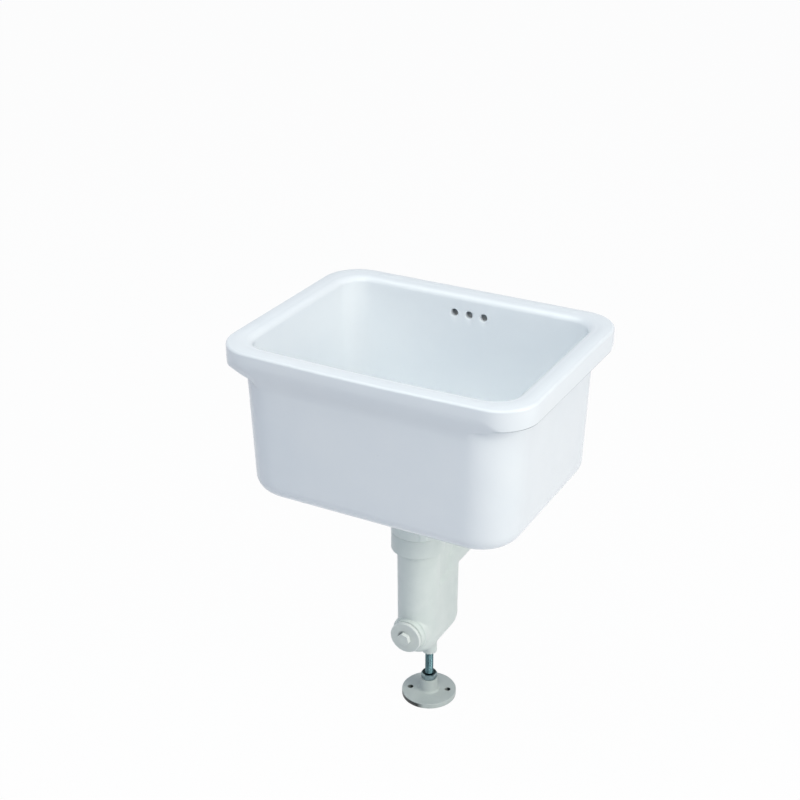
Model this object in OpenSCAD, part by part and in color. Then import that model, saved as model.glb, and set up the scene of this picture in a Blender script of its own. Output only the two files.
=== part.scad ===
// Wall-hung mop sink: a china basin on two wall hangers, its waste fitting,
// a cast trap with a cleanout, and a screw-adjusted foot that stands on the floor.

/* [Basin] */
// Width of the rim, side to side
rim_w = 455; // [430:1:480]
// Depth of the rim, front to wall
rim_d = 357; // [350:1:385]
// Height of the rolled rim, top to underside
rim_h = 31; // [26:1:34]
// Corner radius of the rim, seen from above
rim_corner = 56; // [52:1:66]
// Radius of the rim's upper outside edge
rim_edge = 4.5; // [4:0.5:9]
// Radius of the rim's lower outside edge
rim_under = 10; // [7:0.5:12]
// How far the front of the rim swells outwards at its middle
rim_swell = 3.5; // [0:0.5:7]
// Width of the rim's flat top
rim_flat = 19; // [15:0.5:21]
// Height of the basin, rim top to underside
basin_h = 225; // [205:1:250]
// Step from the rim's outside in to the body, at the sides
side_step = 21.5; // [18:0.5:23]
// Step from the rim's outside in to the body, at the front
front_step = 12; // [11:0.5:20]
// Step from the rim's outside in to the body, at the back
back_step = 17; // [16:0.5:20]
// How far each side of the body draws in towards the underside
body_draft = 5; // [4:0.5:9]
// Corner radius of the body
body_corner = 60; // [52:1:64]
// Radius where the body turns under
body_fillet = 24; // [16:1:26]
// Thickness of the china walls
china_t = 16; // [13:0.5:17]
// Thickness of the bowl's floor
floor_t = 18; // [16:0.5:22]
// Radius of the lip between the rim's top and the bowl
lip_r = 9; // [7:0.5:11]
// Corner radius of the bowl
bowl_corner = 35; // [30:1:42]
// Radius where the bowl's walls meet its floor
bowl_fillet = 30; // [20:1:36]

/* [Overflow] */
// Diameter of one overflow hole
overflow_d = 10.5; // [8:0.5:12]
// Number of overflow holes
overflow_count = 3; // [1:1:3]
// Distance from one overflow hole to the next
overflow_pitch = 23.5; // [21:0.5:26]
// Depth of the overflow holes below the rim's top
overflow_drop = 31; // [29:0.5:36]
// Width of the overflow duct behind the bowl
duct_w = 76; // [68:1:84]
// Depth of the overflow duct, bowl to wall
duct_t = 9; // [6:0.5:10]
// Thickness of china round the overflow duct
duct_wall = 7; // [5:0.5:8]

/* [Waste] */
// Distance from the wall to the middle of the drain
drain_from_wall = 187.5; // [176:0.5:198]
// Diameter of the waste's flange in the bowl
waste_flange_d = 84; // [80:1:90]
// Thickness of the waste's flange
waste_flange_t = 6; // [5:0.5:7]
// Outside diameter of the waste's threaded stem
waste_d = 60; // [56:0.5:62]
// Inside diameter of the waste
waste_bore = 48; // [44:0.5:49]
// Length of the waste's stem below the basin's outlet boss
waste_stem = 22; // [20:0.5:26]
// Height of the basin's outlet boss
outlet_boss_h = 10; // [8:0.5:12]
// Diameter of the basin's outlet boss
outlet_boss_d = 104; // [96:1:112]
// Diameter of the strainer plate
strainer_d = 69; // [64:0.5:71]
// Thickness of the strainer plate
strainer_t = 2.5; // [2:0.25:3]
// Diameter of one hole in the strainer
strainer_hole = 5; // [3.5:0.25:6]
// Thickness of the rubber ring under the waste's flange
upper_ring_t = 2; // [1.5:0.25:2.5]
// Thickness of the rubber ring under the basin
lower_ring_t = 4; // [3:0.25:5]
// Thickness of the metal washer under the basin
washer_t = 2; // [1.5:0.25:2.5]
// Height of the waste's back nut
back_nut_h = 11; // [9:0.5:13]
// Width across the flats of the waste's back nut
back_nut_af = 74; // [70:1:80]
// Outside diameter of the tail pipe
tail_d = 50; // [46:0.5:51]
// Wall of the tail pipe
tail_wall = 2.5; // [2:0.25:4]
// How far the tail pipe reaches into the trap
tail_reach = 26; // [22:1:28]

/* [Trap] */
// Drop from the basin's underside to the top face of the trap's hub
hub_drop = 81; // [79:0.5:100]
// Diameter of the hub at the trap's inlet
hub_d = 78.5; // [76:0.5:82]
// Height of the hub
hub_h = 29.5; // [29:0.5:34]
// Diameter of the threaded neck above the hub
neck_d = 70; // [68:0.5:72]
// Height of the threaded neck above the hub
neck_h = 14; // [12:0.5:15]
// Diameter of the trap's two legs at their upper ends
leg_d = 63; // [61:0.5:66]
// How much the legs narrow on the way down, on the diameter
leg_taper = 2; // [0:0.5:4]
// How far the inlet leg stands behind the middle of the hub
leg_set = 2.5; // [0:0.5:3]
// Inside diameter of the trap's waterway
waterway_d = 51; // [50.5:0.5:52]
// Distance between the inlet leg and the rising leg
leg_gap = 63; // [62:0.5:68]
// Drop from the hub's top face to the middle of the bend at the legs' feet
bend_drop = 181; // [172:1:195]
// Drop from the hub's top face to the middle of the outlet pipe
outlet_drop = 77; // [74:0.5:84]
// Drop from the middle of the outlet pipe to the top of the web between the legs
web_drop = 18; // [10:1:30]
// Width of the thin web that fills the notch above it
notch_web = 54; // [40:1:58]
// Height of the thin web's top over the middle of the outlet pipe
web_rise = 16; // [0:1:18]
// Outside diameter of the outlet pipe
outlet_d = 64; // [60:0.5:66]
// Outside diameter of the outlet's threaded end
outlet_thread_d = 59.6; // [57:0.1:60]
// Length of the outlet's threaded end
outlet_thread_l = 28; // [20:1:34]

/* [Gland] */
// Outside diameter of the gland nut
gland_d = 79.5; // [78:0.5:84]
// Height of the gland nut's closed end
gland_web = 6; // [5:0.5:8]
// Number of spanner lugs on the gland nut
gland_lugs = 6; // [4:1:8]
// Width of one spanner lug
lug_w = 11; // [8:0.5:14]
// How far a spanner lug stands out
lug_out = 1.2; // [0.8:0.1:2]
// Turn of the spanner lugs about the pipe
lug_turn = 8; // [0:1:59]
// Height of the rubber packing
packing_h = 10; // [8:0.5:12]
// Thickness of the metal ring over the packing
gland_ring_t = 2; // [1.5:0.25:2.5]

/* [Cleanout] */
// Height of the cleanout's middle above the middle of the bend
cleanout_rise = 14; // [10:0.5:18]
// Diameter of the cleanout plug's flange
plug_d = 48.5; // [46:0.5:52]
// Thickness of the cleanout plug's flange
plug_t = 5; // [4:0.5:6.5]
// Diameter of the cleanout plug's thread
plug_thread_d = 38; // [36:0.5:40]
// Length of the cleanout plug's thread
plug_thread_l = 15; // [12:0.5:17]
// Width across the flats of the plug's head
plug_af = 17; // [14:0.5:20]
// Height of the plug's head
plug_head = 6.5; // [5:0.5:8]
// How far the cleanout's boss stands out from the leg
cleanout_out = 5.5; // [4:0.5:9]
// Diameter of the collar where the cleanout's boss meets the leg
saddle_d = 59; // [54:0.5:60]
// Thickness of the rubber ring behind the plug
plug_ring_t = 2; // [1.5:0.25:2.5]

/* [Foot] */
// How far the foot's screw stands behind the inlet leg's middle
screw_back = 40; // [36:0.5:44]
// Diameter of the foot's screw
screw_d = 12.7; // [10:0.1:14]
// Diameter of the boss that takes the screw
screw_boss_d = 23.2; // [20:0.2:26]
// Depth of the thread in that boss
screw_boss_depth = 26; // [24:0.5:28]
// How far the boss reaches below the bend
screw_boss_out = 28.5; // [26:0.5:36]
// Length of screw inside the boss
screw_grip = 14; // [12:0.5:15]
// Length of screw that shows between the boss and its nut
screw_free = 39; // [28:1:60]
// Width across the flats of the screw's nut
nut_af = 22; // [19:0.5:22.5]
// Height of the screw's nut
nut_h = 9.5; // [7:0.5:11]
// Diameter of the plain pin below the nut
pin_d = 10; // [8:0.5:11]
// Length of the plain pin below the nut
pin_l = 18; // [12:0.5:19]
// Turn of the nut's corners about the screw
nut_turn = 28; // [0:1:59]
// Diameter of the foot's flange
foot_d = 84; // [78:1:95]
// Thickness of the foot's flange
foot_t = 8.5; // [7:0.5:10]
// Height of the foot, floor to hub top
foot_h = 29.5; // [28:0.5:38]
// Diameter of the foot's hub at its top
foot_hub_top = 26; // [25:0.5:29]
// Diameter of the foot's hub at the flange
foot_hub_base = 30; // [29.5:0.5:36]
// Radius that blends the hub into the flange
foot_blend = 4; // [2:0.5:6]
// Diameter of the circle through the foot's screw holes
foot_pcd = 58; // [54:0.5:62]
// Number of screw holes in the foot
foot_holes = 2; // [2:1:4]
// Diameter of one screw hole in the foot
foot_hole_d = 9; // [7:0.5:9.5]
// Turn of the foot's screw holes about the screw
foot_turn = 21; // [0:1:45]

/* [Hangers] */
// Distance from each end of the rim to the middle of its hanger
hanger_from_end = 97.5; // [94:0.5:102]
// Height of the rim's top above the middle of the wall screws
rim_above_screws = 75; // [71:1:84]
// Width of one hanger's plate
hanger_w = 66; // [60:1:70]
// Length of one hanger's plate, top to bottom
hanger_l = 86; // [80:1:92]
// Thickness of the hanger's steel
hanger_t = 4; // [3:0.5:5]
// Width of the hanger's hook
hook_w = 48; // [40:1:52]
// How far the hook reaches up into the rim
hook_up = 16; // [12:0.5:18]
// Distance from the wall to the middle of the hook
hook_from_wall = 14; // [13:0.5:14.5]
// Distance from one wall screw to the next in a hanger
hanger_pitch = 40; // [34:1:44]
// Diameter of a hole for a wall screw
hanger_hole_d = 7; // [5:0.5:8]

/* [Hidden] */

$fn = 96;
// Free space where a piece drops over or beside another one
ease = 0.6;
// Running space between a screw or pin and its hole, on the radius
running = 0.05;
// Space left where two faces seat on each other
seat = 0.3;
// Overlap that joins the shapes of one piece, or carries a cut past a face
lap = 1;
// Size of a small broken edge
break_edge = 1;
// Steps along a quarter turn of the basin's rounded edges and of its corners
edge_steps = 5;
corner_steps = 9;
// Points that carry the swell along the front
swell_steps = 8;

// The basin's levels, with its rim's top at zero
floor_z = floor_t - basin_h;
boss_z = -basin_h - outlet_boss_h;
drain_y = rim_d / 2 - drain_from_wall;
flange_recess = waste_flange_t + upper_ring_t;
duct_y = rim_d / 2 - back_step - china_t + duct_wall;
duct_top_z = 0.9 * overflow_d - overflow_drop;
duct_low = boss_z + duct_wall;
duct_high = floor_z - flange_recess - 0.5 * duct_wall;
duct_end = duct_y + duct_t;

// The waste's levels
lower_ring_z = boss_z - lower_ring_t;
washer_z = lower_ring_z - washer_t;
back_nut_z = washer_z - back_nut_h;
stem_z = boss_z - waste_stem;
tail_collar_t = 4;
tail_seal_t = 2;
tail_grip = 12;
stem_thread_r = tail_d / 2 + 1.5;
washer_rim = 8;

// The trap's levels
hub_z = -basin_h - hub_drop;
neck_z = hub_z + neck_h;
leg_top_z = hub_z - hub_h;
bend_z = hub_z - bend_drop;
outlet_z = hub_z - outlet_drop;
bend_r = (leg_d - leg_taper) / 2;
waterway_r = waterway_d / 2;
leg_y = drain_y + leg_set;
riser_y = leg_y + leg_gap;
bend_low_z = bend_z - bend_r;
packing_wall = 4;
packing_seat_z = neck_z - packing_h;
packing_r = neck_d / 2 - packing_wall;

// The gland's levels
gland_top = neck_z + gland_ring_t + gland_web;

// The cleanout, along the line out of the leg towards the front
cleanout_z = bend_z + cleanout_rise;
cleanout_y = leg_y - bend_r - cleanout_out;
plug_back_y = cleanout_y - plug_ring_t;
saddle_back = 2;

// The foot's levels
screw_y = drain_y + screw_back;
screw_boss_z = bend_low_z - screw_boss_out;
nut_top_z = screw_boss_z - screw_free;
nut_low_z = nut_top_z - nut_h;
hub_top_z = nut_low_z - seat;
foot_z = hub_top_z - foot_h;

// The hangers
hanger_x = rim_w / 2 - hanger_from_end;
pocket_gap = 1.5;
plate_gap = 2;
pocket_z = -rim_h + hook_up;
plate_top_z = -rim_h - plate_gap;

// Moves from the middle of the rim's top to the middle of the wall screws
module in_place() {
    translate([0, -rim_d / 2, rim_above_screws]) children();
}

// A ring of height h between two radii, standing on z
module washer(outer, inner, z, h) {
    translate([0, 0, z]) difference() {
        cylinder(r = outer, h = h);
        translate([0, 0, -lap]) cylinder(r = inner, h = h + 2 * lap);
    }
}

// Points of a rounded rectangle at height z, its front side swollen outwards
function ring(w, d, r, swell, z) = concat(
    [for (k = [0:3], i = [0:corner_steps])
        if (k < 3) let (a = 90 * k + 90 * i / corner_steps)
            [[1, -1, -1][k] * (w / 2 - r) + r * cos(a), [1, 1, -1][k] * (d / 2 - r) + r * sin(a), z]],
    [for (i = [1:swell_steps - 1]) let (s = 2 * i / swell_steps - 1)
        [s * (w / 2 - r), -d / 2 - swell * (1 - s * s), z]],
    [for (i = [0:corner_steps]) let (a = 270 + 90 * i / corner_steps)
        [w / 2 - r + r * cos(a), r - d / 2 + r * sin(a), z]]);

// One ring of the basin: step in from the rim's outside at the sides and the ends, corner radius,
// swell, height, and how far the ring is set towards the front
function station(side, end, corner, swell, z, forward = 0) =
    [for (p = ring(rim_w - 2 * side, rim_d - 2 * end, corner, swell, z)) p - [0, forward, 0]];

// Rings from the underside, up the outside, over the rim and down into the bowl
function basin_rings() =
    let (mid_step = (front_step + back_step) / 2, forward = back_step - mid_step)
    let (low_side = side_step + body_draft, low_end = mid_step + body_draft)
    let (in_edge = rim_edge + rim_flat, in_wall = rim_edge + rim_flat + lip_r)
    let (bowl_side = low_side + china_t, bowl_end = back_step + body_draft + china_t)
    concat(
        [for (i = [0:edge_steps]) let (a = 90 - 90 * i / edge_steps, s = body_fillet * (1 - cos(a)))
            station(low_side + s, low_end + s, body_corner - s, 0, body_fillet * (1 - sin(a)) - basin_h,
                    forward)],
        [station(side_step, mid_step, body_corner, rim_swell / 2, -rim_h, forward)],
        [for (i = [0:edge_steps]) let (a = 90 - 90 * i / edge_steps, s = rim_under * (1 - cos(a)))
            station(s, s, rim_corner - s, rim_swell, rim_under * (1 - sin(a)) - rim_h)],
        [for (i = [0:edge_steps]) let (a = 90 * i / edge_steps, s = rim_edge * (1 - cos(a)))
            station(s, s, rim_corner - s, rim_swell, rim_edge * (sin(a) - 1))],
        [for (i = [0:edge_steps]) let (a = 90 * i / edge_steps, s = in_edge + lip_r * sin(a))
            station(s, s, bowl_corner + in_wall - s, rim_swell, lip_r * (cos(a) - 1))],
        [for (i = [0:edge_steps]) let (a = 90 * i / edge_steps, s = bowl_fillet * (1 - cos(a)))
            station(bowl_side + s, bowl_end + s, bowl_corner - s * 0.8, 0,
                    bowl_fillet * (1 - sin(a)) + floor_z)]);

// A closed skin over rings that all have the same number of points
module skin(rings) {
    n = len(rings[0]);
    last = len(rings) - 1;
    polyhedron(
        points = [for (each_ring = rings, p = each_ring) p],
        faces = concat(
            [[for (i = [0:n - 1]) i]],
            [for (k = [0:last - 1], i = [0:n - 1]) let (j = (i + 1) % n)
                [k * n + i, (k + 1) * n + i, (k + 1) * n + j, k * n + j]],
            [[for (i = [n - 1:-1:0]) last * n + i]]));
}

// China round the overflow duct: down the back, then forward under the floor
module duct_cover() {
    w = duct_w + 2 * duct_wall;
    back = duct_end + duct_wall - lap;
    translate([-w / 2, duct_y, boss_z])
        cube([w, back - duct_y, -rim_h + lap - boss_z]);
    translate([-w / 2, drain_y, boss_z])
        cube([w, back - drain_y, outlet_boss_h + lap]);
}

// The hollow of the overflow duct
module duct_hollow() {
    translate([-duct_w / 2, duct_y, duct_low])
        cube([duct_w, duct_t, duct_top_z - duct_low]);
    translate([-duct_w / 2, drain_y, duct_low])
        cube([duct_w, duct_end - drain_y, duct_high - duct_low]);
}

// A blind pocket in the underside of the rim for one hanger's hook
module hook_pocket(x) {
    translate([x - hook_w / 2 - pocket_gap, rim_d / 2 - hook_from_wall - hanger_t / 2 - pocket_gap,
               -rim_h - lap])
        cube([hook_w + 2 * pocket_gap, hanger_t + 2 * pocket_gap, hook_up + lap]);
}

module basin() color("aliceblue") in_place() difference() {
    union() {
        skin(basin_rings());
        translate([0, drain_y, boss_z]) cylinder(d = outlet_boss_d, h = outlet_boss_h + lap);
        duct_cover();
    }
    duct_hollow();
    for (i = [0:overflow_count - 1])
        translate([(i - (overflow_count - 1) / 2) * overflow_pitch, duct_y + lap, -overflow_drop])
            rotate([90, 0, 0]) cylinder(d = overflow_d, h = duct_wall + 3 * lap);
    translate([0, drain_y, boss_z - lap]) cylinder(d = waste_d + 2 * ease, h = basin_h);
    translate([0, drain_y, floor_z - flange_recess])
        cylinder(d = waste_flange_d + 2 * ease, h = basin_h);
    for (side = [-1, 1]) hook_pocket(side * hanger_x);
}

// A wall plate with a hook that turns forward and up into the rim's pocket
module hanger(x) color("gainsboro") in_place() translate([x, rim_d / 2, 0]) difference() {
    union() {
        translate([-hanger_w / 2, -hanger_t, plate_top_z - hanger_l])
            cube([hanger_w, hanger_t, hanger_l]);
        translate([-hook_w / 2, -hook_from_wall - hanger_t / 2, plate_top_z - hanger_t])
            cube([hook_w, hook_from_wall + hanger_t / 2, hanger_t]);
        translate([-hook_w / 2, -hook_from_wall - hanger_t / 2, plate_top_z - hanger_t])
            cube([hook_w, hanger_t, pocket_z - seat - plate_top_z + hanger_t]);
    }
    for (side = [-1, 1])
        translate([0, lap, side * hanger_pitch / 2 - rim_above_screws])
            rotate([90, 0, 0]) cylinder(d = hanger_hole_d, h = hanger_t + 2 * lap);
}
module hanger_left() hanger(-hanger_x);
module hanger_right() hanger(hanger_x);

// A drop-in plate with two circles of holes round a middle one
module strainer() color("silver") in_place()
translate([0, drain_y, floor_z - strainer_t]) difference() {
    cylinder(d = strainer_d, h = strainer_t);
    translate([0, 0, -lap]) cylinder(d = strainer_hole, h = strainer_t + 2 * lap);
    for (turn = [0:1], i = [0:7 + 6 * turn])
        rotate([0, 0, i * 360 / (8 + 6 * turn)])
            translate([strainer_d * (0.17 + 0.16 * turn), 0, -lap])
                cylinder(d = strainer_hole, h = strainer_t + 2 * lap);
}

// Flanged brass fitting through the basin, with slots that take the overflow
module waste_body() color("lightgray") in_place() translate([0, drain_y, 0]) difference() {
    union() {
        translate([0, 0, floor_z - waste_flange_t]) cylinder(d = waste_flange_d, h = waste_flange_t);
        translate([0, 0, stem_z]) cylinder(d = waste_d, h = floor_z - stem_z - lap);
    }
    translate([0, 0, stem_z - lap]) cylinder(d = waste_bore, h = basin_h);
    translate([0, 0, stem_z - lap]) cylinder(r = stem_thread_r + running, h = tail_grip + lap + ease);
    translate([0, 0, floor_z - strainer_t - seat]) cylinder(d = strainer_d + 2 * ease, h = basin_h);
    translate([-waste_bore / 4, -waste_d, duct_low + lap])
        cube([waste_bore / 2, 2 * waste_d, duct_high - duct_low - 2 * lap]);
}

module upper_ring() color("dimgray") in_place() translate([0, drain_y, 0])
    washer(waste_flange_d / 2 - lap, waste_d / 2 + ease, floor_z - flange_recess, upper_ring_t);

module lower_ring() color("dimgray") in_place() translate([0, drain_y, 0])
    washer(outlet_boss_d / 2 - washer_rim, waste_d / 2 + ease, lower_ring_z, lower_ring_t);

module waste_washer() color("silver") in_place() translate([0, drain_y, 0])
    washer(outlet_boss_d / 2 - washer_rim - lap, waste_d / 2 + ease, washer_z, washer_t);

// A six-sided prism whose flats are af apart
module hexagon(af, h) {
    cylinder(d = af / cos(30), h = h, $fn = 6);
}

module back_nut() color("lightgray") in_place() translate([0, drain_y, back_nut_z]) difference() {
    intersection() {
        hexagon(back_nut_af, back_nut_h);
        cylinder(d1 = back_nut_af, d2 = back_nut_af + 2 * back_nut_h, h = back_nut_h);
    }
    translate([0, 0, -lap]) cylinder(r = waste_d / 2 + running, h = back_nut_h + 2 * lap);
}

module tail_seal() color("dimgray") in_place() translate([0, drain_y, 0])
    washer(waste_d / 2 - lap, stem_thread_r + ease, stem_z - tail_seal_t, tail_seal_t);

// Brass pipe screwed into the waste, with a collar against its seal
module tail_pipe() color("lightgray") in_place() translate([0, drain_y, 0]) {
    low = hub_z - tail_reach;
    collar = stem_z - tail_seal_t - tail_collar_t;
    difference() {
        union() {
            translate([0, 0, low]) cylinder(d = tail_d, h = collar - low + lap);
            translate([0, 0, collar]) cylinder(d = waste_d, h = tail_collar_t);
            translate([0, 0, collar + lap])
                cylinder(r = stem_thread_r, h = tail_collar_t + tail_seal_t + tail_grip - lap);
        }
        translate([0, 0, low - lap]) cylinder(d = tail_d - 2 * tail_wall, h = basin_h);
    }
}

// Nut that screws down over the trap's neck and presses on the packing
module gland_nut() color("lightgray") in_place() translate([0, drain_y, 0]) difference() {
    union() {
        translate([0, 0, hub_z + seat])
            cylinder(d = gland_d, h = gland_top - hub_z - seat - break_edge);
        translate([0, 0, gland_top - break_edge])
            cylinder(d1 = gland_d, d2 = gland_d - 2 * break_edge, h = break_edge);
        intersection() {
            translate([0, 0, hub_z + seat + break_edge])
                cylinder(r = gland_d / 2 + lug_out, h = gland_top - hub_z - seat - 3 * break_edge);
            for (i = [0:gland_lugs - 1]) rotate([0, 0, i * 360 / gland_lugs + lug_turn])
                translate([gland_d / 2 - 3 * lug_out, -lug_w / 2, hub_z])
                    cube([5 * lug_out, lug_w, gland_top - hub_z]);
        }
    }
    translate([0, 0, hub_z - lap]) cylinder(r = neck_d / 2 + running, h = neck_h + gland_ring_t + lap);
    translate([0, 0, hub_z]) cylinder(d = tail_d + 2 * ease, h = basin_h);
}

module gland_ring() color("silver") in_place() translate([0, drain_y, 0])
    washer(packing_r - ease, tail_d / 2 + ease, neck_z, gland_ring_t - seat);

module gland_packing() color("dimgray") in_place() translate([0, drain_y, 0])
    washer(packing_r, tail_d / 2 + running, packing_seat_z, packing_h - seat);

// The feet of the two legs and the level run that joins them
module bend(r) {
    translate([0, leg_y, bend_z]) sphere(r = r);
    translate([0, riser_y, bend_z]) sphere(r = r);
    translate([0, leg_y, bend_z]) rotate([-90, 0, 0]) cylinder(r = r, h = leg_gap);
}

module trap_outside() {
    translate([0, drain_y, hub_z]) cylinder(d = neck_d, h = neck_h);
    translate([0, drain_y, leg_top_z + break_edge]) cylinder(d = hub_d, h = hub_h - break_edge);
    translate([0, drain_y, leg_top_z])
        cylinder(d1 = hub_d - 2 * break_edge, d2 = hub_d, h = break_edge);
    translate([0, leg_y, bend_z]) cylinder(r1 = bend_r, d2 = leg_d, h = leg_top_z + lap - bend_z);
    translate([0, riser_y, bend_z]) cylinder(r1 = bend_r, d2 = leg_d, h = outlet_z - bend_z);
    translate([0, riser_y, outlet_z]) sphere(d = outlet_d);
    translate([0, riser_y, outlet_z]) rotate([-90, 0, 0])
        cylinder(d = outlet_d, h = rim_d / 2 - riser_y - outlet_thread_l);
    translate([0, riser_y, outlet_z]) rotate([-90, 0, 0])
        cylinder(d = outlet_thread_d, h = rim_d / 2 - riser_y);
    bend(bend_r);
    translate([-bend_r, leg_y, bend_z])
        cube([2 * bend_r, leg_gap, outlet_z - web_drop - bend_z]);
    translate([-notch_web / 2, leg_y, bend_z])
        cube([notch_web, leg_gap, outlet_z + web_rise - bend_z]);
    translate([0, leg_y, cleanout_z]) rotate([90, 0, 0])
        cylinder(d = plug_d + break_edge, h = leg_y - cleanout_y);
    translate([0, leg_y, cleanout_z]) rotate([90, 0, 0])
        cylinder(d1 = saddle_d, d2 = saddle_d - 4, h = bend_r - saddle_back);
    translate([0, screw_y, screw_boss_z]) cylinder(d = screw_boss_d, h = bend_r);
}

// One casting: hub, inlet leg, bend, rising leg, outlet, cleanout boss and screw boss
module trap_body() color("honeydew") in_place() difference() {
    trap_outside();
    translate([0, leg_y, bend_z]) cylinder(d = waterway_d, h = leg_top_z + lap - bend_z);
    translate([0, drain_y, leg_top_z]) cylinder(d = waterway_d, h = hub_h + neck_h + lap);
    translate([0, riser_y, bend_z]) cylinder(d = waterway_d, h = outlet_z - bend_z);
    translate([0, riser_y, outlet_z]) sphere(d = waterway_d);
    translate([0, riser_y, outlet_z]) rotate([-90, 0, 0]) cylinder(d = waterway_d, h = rim_d);
    bend(waterway_r);
    translate([0, drain_y, packing_seat_z]) cylinder(r = packing_r, h = packing_h + lap);
    translate([0, leg_y, cleanout_z]) rotate([90, 0, 0])
        cylinder(r = plug_thread_d / 2 + running, h = leg_y - cleanout_y + lap);
    translate([0, screw_y, screw_boss_z - lap])
        cylinder(r = screw_d / 2 + running, h = screw_boss_depth + lap);
}

// Screwed plug with a raised hexagon in the middle of its flange
module cleanout_plug() color("honeydew") in_place()
translate([0, plug_back_y, cleanout_z]) rotate([90, 0, 0]) {
    cylinder(d = plug_d, h = plug_t - break_edge);
    translate([0, 0, plug_t - break_edge])
        cylinder(d1 = plug_d, d2 = plug_d - 2 * break_edge, h = break_edge);
    translate([0, 0, -plug_ring_t - plug_thread_l])
        cylinder(d = plug_thread_d, h = plug_ring_t + plug_thread_l + lap);
    translate([0, 0, plug_t - lap]) rotate([0, 0, 30]) hexagon(plug_af, plug_head + lap);
}

module cleanout_ring() color("dimgray") in_place()
translate([0, cleanout_y, cleanout_z]) rotate([90, 0, 0])
    washer(plug_d / 2 - lap, plug_thread_d / 2 + ease, seat, plug_ring_t - 2 * seat);

// Threaded in the trap above, a plain pin in the foot below
module foot_screw() color("lightsteelblue") in_place() translate([0, screw_y, 0]) {
    translate([0, 0, nut_low_z]) cylinder(d = screw_d, h = screw_boss_z + screw_grip - nut_low_z);
    translate([0, 0, nut_low_z - pin_l]) cylinder(d = pin_d, h = pin_l + lap);
}

module foot_nut() color("lightsteelblue") in_place() translate([0, screw_y, nut_low_z]) difference() {
    rotate([0, 0, nut_turn]) intersection() {
        hexagon(nut_af, nut_h);
        cylinder(d1 = nut_af + 2 * nut_h, d2 = nut_af - break_edge, h = nut_h);
    }
    translate([0, 0, -lap]) cylinder(r = screw_d / 2 + running, h = nut_h + 2 * lap);
}

// Round floor flange with a tapered hub that carries the nut
module foot_flange() color("lightgray") in_place() translate([0, screw_y, foot_z]) difference() {
    union() {
        cylinder(d = foot_d, h = foot_t - break_edge);
        translate([0, 0, foot_t - break_edge])
            cylinder(d1 = foot_d, d2 = foot_d - 2 * break_edge, h = break_edge);
        cylinder(d1 = foot_hub_base, d2 = foot_hub_top, h = foot_h);
        translate([0, 0, foot_t - lap]) rotate_extrude() difference() {
            square([foot_hub_base / 2 + foot_blend, foot_blend + lap]);
            translate([foot_hub_base / 2 + foot_blend, foot_blend + lap]) circle(r = foot_blend);
        }
    }
    translate([0, 0, foot_h - pin_l - ease]) cylinder(r = pin_d / 2 + running, h = foot_h);
    rotate([0, 0, foot_turn]) for (i = [0:foot_holes - 1])
        rotate([0, 0, i * 360 / foot_holes]) translate([foot_pcd / 2, 0, -lap])
            cylinder(d = foot_hole_d, h = foot_t + 2 * lap);
}

basin();
hanger_left();
hanger_right();
strainer();
waste_body();
upper_ring();
lower_ring();
waste_washer();
back_nut();
tail_seal();
tail_pipe();
gland_nut();
gland_ring();
gland_packing();
trap_body();
cleanout_plug();
cleanout_ring();
foot_screw();
foot_nut();
foot_flange();
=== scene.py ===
import math

import bpy
import numpy as np
from mathutils import Matrix, Vector


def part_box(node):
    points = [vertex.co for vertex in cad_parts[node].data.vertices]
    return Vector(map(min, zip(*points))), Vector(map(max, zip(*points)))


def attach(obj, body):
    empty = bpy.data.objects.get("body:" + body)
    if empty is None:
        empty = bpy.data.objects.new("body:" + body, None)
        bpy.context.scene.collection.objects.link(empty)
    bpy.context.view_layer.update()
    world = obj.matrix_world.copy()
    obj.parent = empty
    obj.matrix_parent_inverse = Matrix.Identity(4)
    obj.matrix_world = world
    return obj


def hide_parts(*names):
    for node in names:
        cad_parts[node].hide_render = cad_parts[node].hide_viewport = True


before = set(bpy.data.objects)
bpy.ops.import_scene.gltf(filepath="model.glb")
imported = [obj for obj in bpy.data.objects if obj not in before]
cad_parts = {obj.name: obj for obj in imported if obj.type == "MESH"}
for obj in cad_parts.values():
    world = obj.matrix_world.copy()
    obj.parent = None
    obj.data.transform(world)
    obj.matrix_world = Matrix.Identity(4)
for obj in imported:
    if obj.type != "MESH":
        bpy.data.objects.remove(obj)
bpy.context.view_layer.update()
scene = bpy.context.scene
scene.view_settings.view_transform = "Standard"
mm = 0.001


class Wire:
    # a node socket that can stand in sums and products
    def __init__(self, tree, socket=None):
        self.tree = tree
        self.socket = socket

    def node(self, kind, settings=None, inputs=None, out=0):
        made = self.tree.nodes.new(kind)
        for name, value in (settings or {}).items():
            setattr(made, name, value)
        for name, value in (inputs or {}).items():
            if isinstance(value, Wire):
                self.tree.links.new(value.socket, made.inputs[name])
            else:
                made.inputs[name].default_value = value
        return Wire(self.tree, made.outputs[out] if len(made.outputs) else None)

    def __add__(self, other):
        return self.node("ShaderNodeMath", {"operation": "ADD"}, {0: self, 1: other})

    def __mul__(self, other):
        return self.node("ShaderNodeMath", {"operation": "MULTIPLY"}, {0: self, 1: other})


def newFinish(name):
    material = bpy.data.materials.new(name)
    material.use_nodes = True
    material.node_tree.nodes.clear()
    return material, Wire(material.node_tree)


def colour(red, green, blue):
    # sRGB out of 255 to the linear values that a shader takes
    def linear(value):
        value = value / 255
        return value / 12.92 if value < 0.04045 else ((value + 0.055) / 1.055) ** 2.4
    return (linear(red), linear(green), linear(blue), 1.0)


def placeOf(start):
    return start.node("ShaderNodeTexCoord", out=3)


def facingOf(start):
    return start.node("ShaderNodeTexCoord", out=1)


def part(vector, axis):
    # a vector's part along X, Y or Z, counted from 0
    return vector.node("ShaderNodeSeparateXYZ", {}, {"Vector": vector}, axis)


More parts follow.
